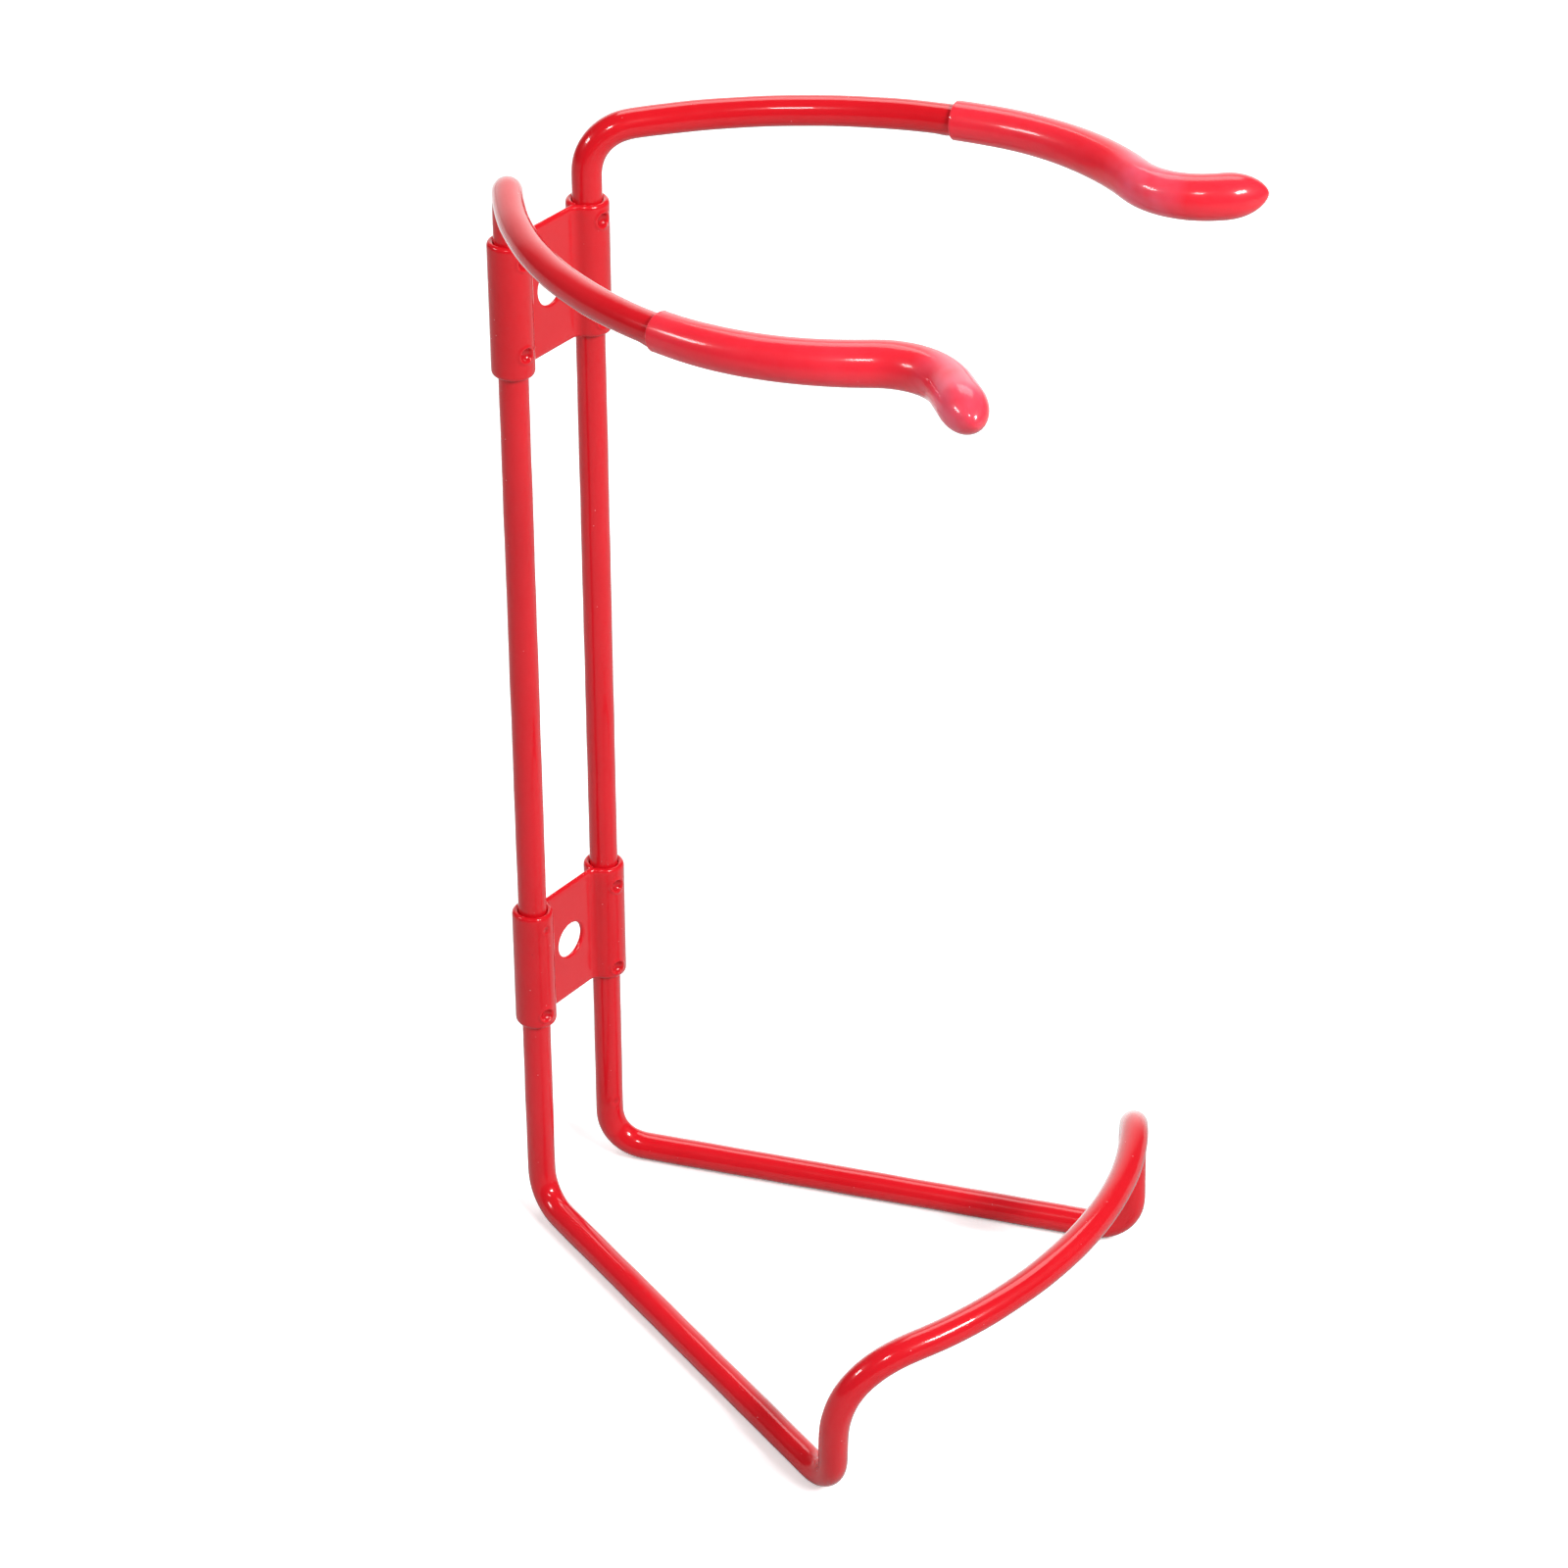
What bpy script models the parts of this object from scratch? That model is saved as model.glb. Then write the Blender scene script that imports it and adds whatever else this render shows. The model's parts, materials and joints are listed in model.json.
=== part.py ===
"""Wall bracket for a small fire extinguisher, made of bent wire with a thick red dip coat.

One wire makes the tray at the bottom, the two uprights and the two horns that curl round
the cylinder. Two pressed straps tie the uprights together and carry the screw holes, and a
soft sleeve covers the end of each horn. The horns spring open when a cylinder is pushed in:
each one turns about its own upright, from a cut that the upper strap hides.

+X is to the right for someone facing the wall, +Y points at the wall and +Z is up. The
origin is the bottom centre of the bracket's box. Shapes are laid out from the datum, which
lies midway between the axes of the uprights at the level of the tray's arms.
"""

import math

import bmesh
import bpy
from mathutils import Matrix, Vector

MM = 0.001

# The datum's place, which puts the origin at the bottom centre of the bracket's box.
DATUM = (0.0, 70.7 * MM, 3.3 * MM)

# Wire: 6 mm steel with a 0.3 mm coat.
WIRE_RADIUS = 3.3 * MM
CLEARANCE = 0.3 * MM

# Uprights and tray. The sample in the photo was bent and cut by hand, so the ends of its
# arms and horns differ a little from left to right.
UPRIGHT_X = 13.6 * MM
HORN_HEIGHT = 271.0 * MM
LEFT_TOE = (-56.9 * MM, -114.5 * MM, 0.0)
RIGHT_TOE = (57.2 * MM, -122.5 * MM, 0.0)
LEFT_POST_TOP = (-60.3 * MM, -117.5 * MM, 35.7 * MM)
RIGHT_POST_TOP = (60.6 * MM, -119.0 * MM, 38.4 * MM)
LIP_MIDDLE = (0.0, -140.3 * MM, 42.1 * MM)
HEEL_BEND = 8.5 * MM
TOE_BEND = 8.5 * MM
LIP_BEND = 18.8 * MM

# Horns. A heading is the way the horn runs in plan, from straight out of the wall (0)
# towards the outside (+) or the middle (-).
HORN_BEND = 9.7 * MM
HORN_SLOPE = math.radians(3.5)
HORN_START_HEADING = math.radians(50.3)
HORN_ARCS = (
    (101.7 * MM, math.radians(4.9)),
    (65.1 * MM, math.radians(-31.3)),
    (16.3 * MM, math.radians(40.2)),
)
LEFT_TIP = 9.0 * MM
RIGHT_TIP = 3.5 * MM

# Straps: sheet curled round both uprights until its ends meet the back of the web. The
# curl's end is measured round the upright from +X.
STRAP_HEIGHT = 31.6 * MM
UPPER_STRAP_Z = 240.0 * MM
LOWER_STRAP_Z = 68.2 * MM
SHEET = 1.2 * MM
WEB_FRONT_Y = -0.4 * MM
CREASE_RADIUS = 1.2 * MM
CURL_END = math.radians(169)
SCREW_HOLE_RADIUS = 4.8 * MM
STAKE_TURN = math.radians(-12)
STAKE_INSET = 3.8 * MM
STAKE_BALL_RADIUS = 2.2 * MM
STAKE_DEPTH = 0.75 * MM
EDGE_ROUNDING = 0.4 * MM
WIRE_CUT_GAP = 0.5 * MM

# Sleeves: soft caps pushed over the ends of the horns. Their noses start to taper a little
# before the end of the wire.
SLEEVE_LENGTH = 74.8 * MM
SLEEVE_MOUTH_RADIUS = 4.2 * MM
SLEEVE_TIP_RADIUS = 4.85 * MM
SLEEVE_NOSE = 6.5 * MM
NOSE_TAPER = 3.0 * MM
NOSE_POWER = 2.2
NOSE_BLUNTNESS = 0.62
SLEEVE_END_ROOM = 1.0 * MM

# Facets.
WIRE_SIDES = 16
HOLE_SIDES = 40
BEND_STEPS = 7
LIP_STEPS = 12
HORN_STEP = math.radians(6)
CURL_STEP = math.radians(12)
NOSE_STATIONS = (0.0, 1.3, 2.6, 3.9, 4.9, 5.7, 6.5)
NOSE_END_RADIUS = 0.7 * MM

BORE_RADIUS = WIRE_RADIUS + CLEARANCE


def clear_scene():
    for obj in list(bpy.data.objects):
        bpy.data.objects.remove(obj, do_unlink=True)


def principled(name, colour, roughness, coat=0.0):
    """A plain Principled BSDF material."""
    material = bpy.data.materials.new(name)
    material.use_nodes = True
    shader = material.node_tree.nodes["Principled BSDF"]
    shader.inputs["Base Color"].default_value = (*colour, 1.0)
    shader.inputs["Roughness"].default_value = roughness
    shader.inputs["Metallic"].default_value = 0.0
    shader.inputs["Coat Weight"].default_value = coat
    material.diffuse_color = (*colour, 1.0)
    return material


def wire_coat(name):
    return principled(name, (0.71, 0.022, 0.032), 0.24, coat=0.3)


def strap_coat(name):
    return principled(name, (0.69, 0.030, 0.040), 0.28, coat=0.3)


def sleeve_vinyl(name):
    return principled(name, (0.86, 0.035, 0.055), 0.34)


# Paths. A path is a list of points, and a bend in it is an arc between its two tangents.


def bend(before, corner, after, radius, steps=BEND_STEPS):
    """Points of the arc that rounds the corner, from the incoming to the outgoing leg."""
    incoming = (before - corner).normalized()
    outgoing = (after - corner).normalized()
    half = incoming.angle(outgoing) / 2
    middle = (incoming + outgoing).normalized()
    centre = corner + middle * (radius / math.sin(half))
    start = corner + incoming * (radius / math.tan(half)) - centre
    axis = outgoing.cross(incoming).normalized()
    turn = math.pi - 2 * half
    return [
        centre + Matrix.Rotation(turn * k / steps, 3, axis) @ start
        for k in range(steps + 1)
    ]


def heading_vector(heading):
    return Vector((math.sin(heading), -math.cos(heading), 0.0))


def plan_arc(start, heading, radius, end_heading):
    """Points after start, along a level arc that turns from one heading to the other."""
    steps = max(3, math.ceil(abs(end_heading - heading) / HORN_STEP))
    to_centre = math.copysign(radius, end_heading - heading)
    centre = start + heading_vector(heading + math.pi / 2) * to_centre
    points = []
    for k in range(1, steps + 1):
        angle = heading + (end_heading - heading) * k / steps
        points.append(centre - heading_vector(angle + math.pi / 2) * to_centre)
    return points


def mirrored(points):
    return [Vector((-p.x, p.y, p.z)) for p in points]


def lip_points(post_top):
    """The front lip from its middle to the post on the right: an arc in plan, highest halfway."""
    bulge = post_top.y - LIP_MIDDLE[1]
    rise = LIP_MIDDLE[2] - post_top.z
    radius = (post_top.x**2 + bulge**2) / (2 * bulge)
    end_angle = math.asin(post_top.x / radius)
    centre_y = LIP_MIDDLE[1] + radius
    points = []
    for k in range(LIP_STEPS + 1):
        angle = end_angle * k / LIP_STEPS
        x = radius * math.sin(angle)
        z = post_top.z + rise * (1 - (x / post_top.x) ** 2)
        points.append(Vector((x, centre_y - radius * math.cos(angle), z)))
    return points


def tray_half(top_z, toe, post_top):
    """From the top of the right upright, down and along the arm, to the middle of the lip."""
    top = Vector((UPRIGHT_X, 0.0, top_z))
    heel = Vector((UPRIGHT_X, 0.0, 0.0))
    lip = lip_points(post_top)
    bends = bend(top, heel, toe, HEEL_BEND)
    bends += bend(heel, toe, post_top, TOE_BEND)
    lip_bend = bend(toe, post_top, lip[-5], LIP_BEND)
    reach = (lip_bend[-1] - post_top).length
    rest_of_lip = [p for p in reversed(lip) if (p - post_top).length > reach * 1.05]
    return [top] + bends + lip_bend + rest_of_lip


def horn_path(bottom_z, tip):
    """From inside the upper strap, up the right upright and round the horn to its tip."""
    corner = Vector((UPRIGHT_X, 0.0, HORN_HEIGHT))
    slope = Vector((0.0, 0.0, math.tan(HORN_SLOPE)))
    heading = HORN_START_HEADING
    away = heading_vector(heading) + slope * math.cos(heading)
    bottom = Vector((UPRIGHT_X, 0.0, bottom_z))
    path = [bottom] + bend(bottom, corner, corner + away, HORN_BEND)
    level = [Vector((path[-1].x, path[-1].y, 0.0))]
    for radius, end_heading in HORN_ARCS:
        level += plan_arc(level[-1], heading, radius, end_heading)
        heading = end_heading
    level.append(level[-1] + heading_vector(heading) * tip)
    for point in level[1:]:
        path.append(point + Vector((0.0, 0.0, HORN_HEIGHT)) - slope * point.y)
    return path


def end_of_path(path, length):
    """The last stretch of a path, starting with a new point at that length from its end."""
    kept = [path[-1]]
    for point in reversed(path[:-1]):
        step = (point - kept[0]).length
        if step >= length:
            return [kept[0].lerp(point, length / step)] + kept
        kept.insert(0, point)
        length -= step
    return kept


# Meshes.


def frames_along(path):
    """(point, tangent, normal) at each point, with the normal carried along untwisted."""
    tangents = []
    for i in range(len(path)):
        before = path[max(i - 1, 0)]
        after = path[min(i + 1, len(path) - 1)]
        tangents.append((after - before).normalized())
    normal = tangents[0].orthogonal().normalized()
    frames = [(path[0], tangents[0], normal)]
    for i in range(1, len(path)):
        normal = tangents[i - 1].rotation_difference(tangents[i]) @ normal
        frames.append((path[i], tangents[i], normal))
    return frames


def add_ring(mesh, frame, radius, sides=WIRE_SIDES):
    point, tangent, normal = frame
    side = tangent.cross(normal)
    ring = []
    for k in range(sides):
        angle = 2 * math.pi * k / sides
        spoke = math.cos(angle) * normal + math.sin(angle) * side
        ring.append(mesh.verts.new(point + radius * spoke))
    return ring


def skin(mesh, rings):
    """Joins each ring to the next and closes the first and last ones."""
    sides = len(rings[0])
    for ring, following in zip(rings, rings[1:]):
        for k in range(sides):
            after = (k + 1) % sides
            mesh.faces.new((ring[k], ring[after], following[after], following[k]))
    mesh.faces.new(rings[0])
    mesh.faces.new(rings[-1])
    bmesh.ops.recalc_face_normals(mesh, faces=mesh.faces)


def make_object(name, mesh, material, origin):
    """Turns a bmesh laid out from the datum into an object with its own origin."""
    data = bpy.data.meshes.new(name)
    mesh.to_mesh(data)
    mesh.free()
    data.transform(Matrix.Translation(-Vector(origin)))
    data.shade_smooth()
    data.set_sharp_from_angle(angle=math.radians(35))
    if material:
        data.materials.append(material)
    obj = bpy.data.objects.new(name, data)
    obj.location = Vector(DATUM) + Vector(origin)
    bpy.context.scene.collection.objects.link(obj)
    return obj


def wire_mesh(path):
    mesh = bmesh.new()
    skin(mesh, [add_ring(mesh, frame, WIRE_RADIUS) for frame in frames_along(path)])
    return mesh


# Wires.


def add_frame_wire():
    top = UPPER_STRAP_Z - WIRE_CUT_GAP / 2
    right = tray_half(top, Vector(RIGHT_TOE), Vector(RIGHT_POST_TOP))
    left = tray_half(top, *mirrored([Vector(LEFT_TOE), Vector(LEFT_POST_TOP)]))
    path = right + mirrored(reversed(left[:-1]))
    make_object("frame_wire", wire_mesh(path), wire_coat("frame_wire_coat"), (0, 0, 0))


def horn_side(side):
    """The path of the left (-1) or right (+1) horn, and the height of the cut it starts at."""
    cut = UPPER_STRAP_Z + WIRE_CUT_GAP / 2
    if side > 0:
        return horn_path(cut, RIGHT_TIP), cut
    return mirrored(horn_path(cut, LEFT_TIP)), cut


def add_horn_wire(name, side):
    """One horn, with its origin on the axis it springs about."""
    path, cut = horn_side(side)
    mesh = wire_mesh(path)
    origin = (side * UPRIGHT_X, 0, cut)
    return make_object(name, mesh, wire_coat(name + "_coat"), origin)


# Sleeves.


def nose_radius(past_end):
    """The outside of the sleeve at a distance past the end of the wire."""
    share = max(0.0, (past_end + NOSE_TAPER) / (SLEEVE_NOSE + NOSE_TAPER))
    radius = SLEEVE_TIP_RADIUS * (1 - min(share, 1.0) ** NOSE_POWER) ** NOSE_BLUNTNESS
    return max(radius, NOSE_END_RADIUS)


def sleeve_mesh(path):
    """From the end of the bore back to the mouth, then outside to the nose."""
    covered = end_of_path(path, SLEEVE_LENGTH)
    frames = frames_along(covered)
    end, away, normal = frames[-1]
    mesh = bmesh.new()
    bore_end = (end + away * SLEEVE_END_ROOM, away, normal)
    rings = [add_ring(mesh, bore_end, BORE_RADIUS)]
    rings += [add_ring(mesh, frame, BORE_RADIUS) for frame in reversed(frames)]
    length = 0.0
    before = covered[0]
    for frame in frames[:-1]:
        length += (frame[0] - before).length
        before = frame[0]
        swell = (SLEEVE_TIP_RADIUS - SLEEVE_MOUTH_RADIUS) * length / SLEEVE_LENGTH
        rings.append(add_ring(mesh, frame, SLEEVE_MOUTH_RADIUS + swell))
    for past_end in NOSE_STATIONS:
        point = end + away * past_end * MM
        rings.append(add_ring(mesh, (point, away, normal), nose_radius(past_end * MM)))
    skin(mesh, rings)
    return mesh


def add_sleeve(name, side):
    """A sleeve shares its horn's origin, because it moves with the horn."""
    path, cut = horn_side(side)
    origin = (side * UPRIGHT_X, 0, cut)
    return make_object(name, sleeve_mesh(path), sleeve_vinyl(name + "_vinyl"), origin)


# Straps.


def arc_points(centre, radius, start, end):
    """Points in plan along an arc, both ends included; the angles are from +X."""
    steps = max(2, math.ceil(abs(end - start) / CURL_STEP))
    points = []
    for k in range(steps + 1):
        angle = start + (end - start) * k / steps
        x = centre[0] + radius * math.cos(angle)
        points.append((x, centre[1] + radius * math.sin(angle)))
    return points


def sheet_face(depth, curl_end):
    """The right half of one face of the sheet in plan, from the web to the end of the curl.

    The depth is how far the face lies behind the front face of the web. The face runs
    through the crease, then round the front, the outside and the back of the upright.
    """
    span = BORE_RADIUS + SHEET + CREASE_RADIUS
    crease_y = WEB_FRONT_Y - CREASE_RADIUS
    crease_centre = (UPRIGHT_X - math.sqrt(span**2 - crease_y**2), crease_y)
    turn = -math.asin(crease_y / span)
    curl = BORE_RADIUS + SHEET - depth
    points = arc_points(crease_centre, CREASE_RADIUS + depth, math.pi / 2, turn)
    return points + arc_points((UPRIGHT_X, 0), curl, turn - math.pi, curl_end)


def strap_outline(inset):
    """The edge of the whole sheet in plan, drawn in by the inset."""
    curl_end = CURL_END - inset / BORE_RADIUS
    front = sheet_face(inset, curl_end)
    back = sheet_face(SHEET - inset, curl_end)
    right = front + back[::-1]
    return right + [(-x, y) for x, y in reversed(right)]


def strap_mesh(middle_z):
    """The sheet, with its top and bottom edges taken off all round."""
    mesh = bmesh.new()
    rings = []
    half = STRAP_HEIGHT / 2
    shoulder = half - EDGE_ROUNDING
    levels = ((-half, EDGE_ROUNDING), (-shoulder, 0), (shoulder, 0), (half, EDGE_ROUNDING))
    for height, inset in levels:
        z = middle_z + height
        rings.append([mesh.verts.new((x, y, z)) for x, y in strap_outline(inset)])
    skin(mesh, rings)
    return mesh


def hole_mesh(middle_z):
    """The space of the screw hole, flared where it meets each face of the web."""
    back_y = WEB_FRONT_Y + SHEET
    flare = 1 * MM
    stations = (
        (WEB_FRONT_Y + EDGE_ROUNDING - flare, flare),
        (WEB_FRONT_Y + EDGE_ROUNDING, 0),
        (back_y - EDGE_ROUNDING, 0),
        (back_y - EDGE_ROUNDING + flare, flare),
    )
    mesh = bmesh.new()
    rings = []
    for y, widening in stations:
        frame = (Vector((0, y, middle_z)), Vector((0, 1, 0)), Vector((0, 0, 1)))
        rings.append(add_ring(mesh, frame, SCREW_HOLE_RADIUS + widening, HOLE_SIDES))
    skin(mesh, rings)
    return mesh


def stakes_mesh(middle_z):
    """Four balls that dent the fronts of the curls, near their tops and bottoms."""
    reach = STRAP_HEIGHT / 2 - STAKE_INSET
    away = heading_vector(STAKE_TURN)
    away *= BORE_RADIUS + SHEET + STAKE_BALL_RADIUS - STAKE_DEPTH
    mesh = bmesh.new()
    for x in (-UPRIGHT_X, UPRIGHT_X):
        for z in (middle_z - reach, middle_z + reach):
            place = Matrix.Translation(away + Vector((x, 0, z)))
            bmesh.ops.create_icosphere(
                mesh, subdivisions=3, radius=STAKE_BALL_RADIUS, matrix=place
            )
    return mesh


def cut(target, name, mesh, origin):
    """Takes a shape out of the target with a hidden cutter."""
    cutter = make_object(name, mesh, None, origin)
    cutter.hide_render = True
    cutter.display_type = "WIRE"
    modifier = target.modifiers.new(name, "BOOLEAN")
    modifier.operation = "DIFFERENCE"
    modifier.solver = "EXACT"
    modifier.object = cutter


def add_strap(name, middle_z):
    origin = (0, 0, middle_z)
    strap = make_object(name, strap_mesh(middle_z), strap_coat(name + "_coat"), origin)
    cut(strap, name + "_hole_cutter", hole_mesh(middle_z), origin)
    cut(strap, name + "_stake_cutter", stakes_mesh(middle_z), origin)


def main():
    clear_scene()
    add_frame_wire()
    add_strap("upper_strap", UPPER_STRAP_Z)
    add_strap("lower_strap", LOWER_STRAP_Z)
    for name, side in (("left_horn", -1), ("right_horn", 1)):
        add_horn_wire(name + "_wire", side)
        add_sleeve(name + "_sleeve", side)


main()
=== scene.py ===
"""The looks of the wire bracket for a small fire extinguisher, built around its CAD frame.

Every visible piece is a new, finer mesh that stands for one CAD node. Shapes are laid out in
millimetres from the CAD's datum, midway between the axes of the uprights at the level of the
tray's arms, and the finished meshes are in metres in the frame of the CAD.
"""

import json
import math

import bmesh
import bpy
import numpy as np
from mathutils import Matrix, Vector


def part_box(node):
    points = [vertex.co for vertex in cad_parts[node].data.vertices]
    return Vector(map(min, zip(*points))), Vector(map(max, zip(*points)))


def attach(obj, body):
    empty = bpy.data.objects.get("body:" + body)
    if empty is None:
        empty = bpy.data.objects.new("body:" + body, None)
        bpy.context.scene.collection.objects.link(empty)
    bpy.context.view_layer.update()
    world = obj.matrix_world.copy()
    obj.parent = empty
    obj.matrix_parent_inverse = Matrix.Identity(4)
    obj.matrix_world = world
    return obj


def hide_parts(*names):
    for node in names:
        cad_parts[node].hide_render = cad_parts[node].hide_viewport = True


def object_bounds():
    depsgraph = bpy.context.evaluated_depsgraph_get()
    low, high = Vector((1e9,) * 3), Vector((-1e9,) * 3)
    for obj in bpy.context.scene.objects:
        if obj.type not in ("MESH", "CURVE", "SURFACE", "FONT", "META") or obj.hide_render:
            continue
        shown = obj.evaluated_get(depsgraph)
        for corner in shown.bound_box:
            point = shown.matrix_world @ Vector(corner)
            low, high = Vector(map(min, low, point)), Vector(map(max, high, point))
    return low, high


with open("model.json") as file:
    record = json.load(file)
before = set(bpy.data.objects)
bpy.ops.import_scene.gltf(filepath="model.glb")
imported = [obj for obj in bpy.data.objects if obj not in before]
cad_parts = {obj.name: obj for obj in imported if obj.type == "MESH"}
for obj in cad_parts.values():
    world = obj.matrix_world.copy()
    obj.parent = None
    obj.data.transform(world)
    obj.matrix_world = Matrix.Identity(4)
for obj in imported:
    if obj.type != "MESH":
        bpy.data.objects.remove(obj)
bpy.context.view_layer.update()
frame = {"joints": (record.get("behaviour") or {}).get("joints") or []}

MM = 0.001
JOINTS = {joint["name"]: joint for joint in frame["joints"]}

# Wire: steel in a thick dip coat.
WIRE_RADIUS = 3.3
BORE_RADIUS = 3.6

# Where the CAD put things. The datum is in metres, and the rest is in mm from it.
HINGE = JOINTS["right_horn_spring"]["pos_m"]
DATUM = np.array((0.0, HINGE[1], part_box("frame_wire")[0].z + WIRE_RADIUS * MM))
UPRIGHT_X = HINGE[0] / MM


def middle_of(node):
    low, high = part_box(node)
    return ((low.z + high.z) / 2 - DATUM[2]) / MM


UPPER_STRAP_Z = middle_of("upper_strap")
LOWER_STRAP_Z = middle_of("lower_strap")
HORN_CUT = (HINGE[2] - DATUM[2]) / MM
FRAME_CUT = (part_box("frame_wire")[1].z - DATUM[2]) / MM
STRAP_HEIGHT = (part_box("upper_strap")[1].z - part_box("upper_strap")[0].z) / MM

# Tray. The sample in the photo was bent and cut by hand, so its right arm is the longer one.
# Below, -1 is the left side and 1 is the right one.
TOE = {-1: (-56.9, -114.5, 0.0), 1: (57.2, -122.5, 0.0)}
POST_TOP = {-1: (-60.3, -117.5, 35.7), 1: (60.6, -119.0, 38.4)}
LIP_MIDDLE_Y = -140.3
LIP_MIDDLE_Z = 42.1
HEEL_BEND = 8.5
TOE_BEND = 8.5
LIP_BEND = 18.8

# The lip is laid out in equal steps. The bend at each post aims at a point this many steps
# along the lip, and the lip goes on from this many times the bend's own reach.
LIP_STEPS = 36
LIP_AIM = 12
LIP_REACH = 1.45

# Where the wire's bends run long and soft: in front of this, from this height up.
SOFT_FRONT_Y = -60
SOFT_FROM_Z = 12
SOFT_FADE = 12

# A burst bubble in the coat, low on the right upright: a raised rim round a dip.
SCAR_HEADING = math.radians(-25)
SCAR_Z = 13.8
SCAR_RADIUS = 1.35
SCAR_RIM = 0.20
SCAR_RIM_WIDTH = 0.35
SCAR_DIP = 0.14
SCAR_DIP_WIDTH = 0.6

# Horns. A heading is the way the horn runs in plan, from straight out of the wall (0)
# towards the outside (+) or the middle (-).
HORN_HEIGHT = 271.0
HORN_BEND = 9.7
HORN_SLOPE = math.radians(3.5)
HORN_START_HEADING = math.radians(50.3)
HORN_ARCS = (
    (101.7, math.radians(4.9)),
    (65.1, math.radians(-31.3)),
    (16.3, math.radians(40.2)),
)
TIP_STRAIGHT = {-1: 9.0, 1: 3.5}

# How the dip coat lies on the wire: it hangs under level stretches, fills the inside of bends,
# and runs together in a drip at the mouth of each sleeve.
COAT_SAG = 0.05
COAT_POOL = 0.22
DRIP = {-1: 0.75, 1: 0.3}
DRIP_BEFORE_MOUTH = 1.9
DRIP_LENGTH = 1.5
STRAP_FADE = 4.0
WIRE_END_ROUNDING = 1.5
SLEEVE_CLEARANCE = 0.05

# Straps.
SHEET = 1.2
WEB_FRONT_Y = -0.4
CREASE_RADIUS = 1.9
CURL_END = math.radians(172)
SCREW_HOLE_RADIUS = 4.5
HOLE_ROUNDING = 0.45
UPPER_STRAP_TILT = 0.04
LOWER_STRAP_TILT = 0.06

# The coat rounds the sheet's top and bottom edges over this height, taking this much off the
# outside and the inside.
EDGE_HEIGHT = 1.1
EDGE_OUTSIDE = 0.85
EDGE_INSIDE = 0.25

# The coat between curl and wire stops below the curl's edge, and its face is dished.
PLUG_BELOW_EDGE = 0.10
PLUG_DISH = 0.34

# Stake marks, left upright first and bottom first: the way each faces from straight ahead
# in degrees, its shift upwards and its depth.
STAKE_INSET = 3.8
STAKE_BALL_RADIUS = 1.7
RIM_RADIUS = 0.36
RIM_SPREAD = 0.22
RIM_PER_DEPTH = 0.25
UPPER_STAKES = ((-11, 2.3, 1.15), (-10, 0.0, 1.0), (-12, 0.0, 1.1), (-8, 0.0, 1.15))
LOWER_STAKES = ((-18, 0.0, 1.15), (-11, 0.0, 0.35), (-16, -0.7, 1.1), (-11, -1.3, 1.1))

# Sleeves.
SLEEVE_LENGTH = 74.8
SLEEVE_MOUTH_RADIUS = 4.2
SLEEVE_TIP_RADIUS = 4.85
SLEEVE_NOSE = 6.5
NOSE_TAPER = 3.0
NOSE_POWER = 2.2
NOSE_BLUNTNESS = 0.62
SLEEVE_END_ROOM = 1.0
SLEEVE_FADE = 4.0

# Fineness of the meshes.
ARC_STEP = math.radians(3)
PATH_STEP = 0.5
PATH_SMOOTHING = 1.3
LIP_SMOOTHING = 4.2
WIRE_SIDES = 48
SLEEVE_SIDES = 64
HOLE_SIDES = 64
PLUG_SIDES = 80
RIM_STEPS = 48
RIM_SIDES = 12
STRAP_VOXEL = 0.235


# Shares and paths. A path is an array of points in mm.


def eased(share):
    """0 to 1 with a level start and end."""
    return share * share * (3 - 2 * share)


def bump(distance, size):
    return np.exp(-((distance / size) ** 2))


def unit(vector):
    vector = np.asarray(vector, float)
    return vector / np.linalg.norm(vector, axis=-1, keepdims=True)


def turned(vector, axis, angle):
    """The vector turned about a unit axis that is square to it."""
    return vector * math.cos(angle) + np.cross(axis, vector) * math.sin(angle)


def bend(before, corner, after, radius):
    """Points of the arc that rounds the corner, from the incoming to the outgoing leg."""
    incoming = unit(before - corner)
    outgoing = unit(after - corner)
    half = math.acos(incoming @ outgoing) / 2
    centre = corner + unit(incoming + outgoing) * (radius / math.sin(half))
    start = corner + incoming * (radius / math.tan(half)) - centre
    axis = unit(np.cross(outgoing, incoming))
    turn = math.pi - 2 * half
    steps = math.ceil(turn / ARC_STEP)
    return [centre + turned(start, axis, turn * k / steps) for k in range(steps + 1)]


def heading_vector(heading):
    return np.array((math.sin(heading), -math.cos(heading), 0.0))


def plan_arc(start, heading, radius, end_heading):
    """Points after start, along a level arc that turns from one heading to the other."""
    steps = math.ceil(abs(end_heading - heading) / ARC_STEP)
    to_centre = math.copysign(radius, end_heading - heading)
    centre = start + heading_vector(heading + math.pi / 2) * to_centre
    angles = [heading + (end_heading - heading) * k / steps for k in range(1, steps + 1)]
    return [centre - heading_vector(a + math.pi / 2) * to_centre for a in angles]


def lip_points(post_top):
    """The front lip from its middle to the right post: an arc in plan, highest halfway."""
    end_x, end_y, end_z = post_top
    bulge = end_y - LIP_MIDDLE_Y
    radius = (end_x**2 + bulge**2) / (2 * bulge)
    angles = np.linspace(0, math.asin(end_x / radius), LIP_STEPS + 1)
    x = radius * np.sin(angles)
    y = LIP_MIDDLE_Y + radius - radius * np.cos(angles)
    z = end_z + (LIP_MIDDLE_Z - end_z) * (1 - (x / end_x) ** 2)
    return np.stack((x, y, z), axis=1)


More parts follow.
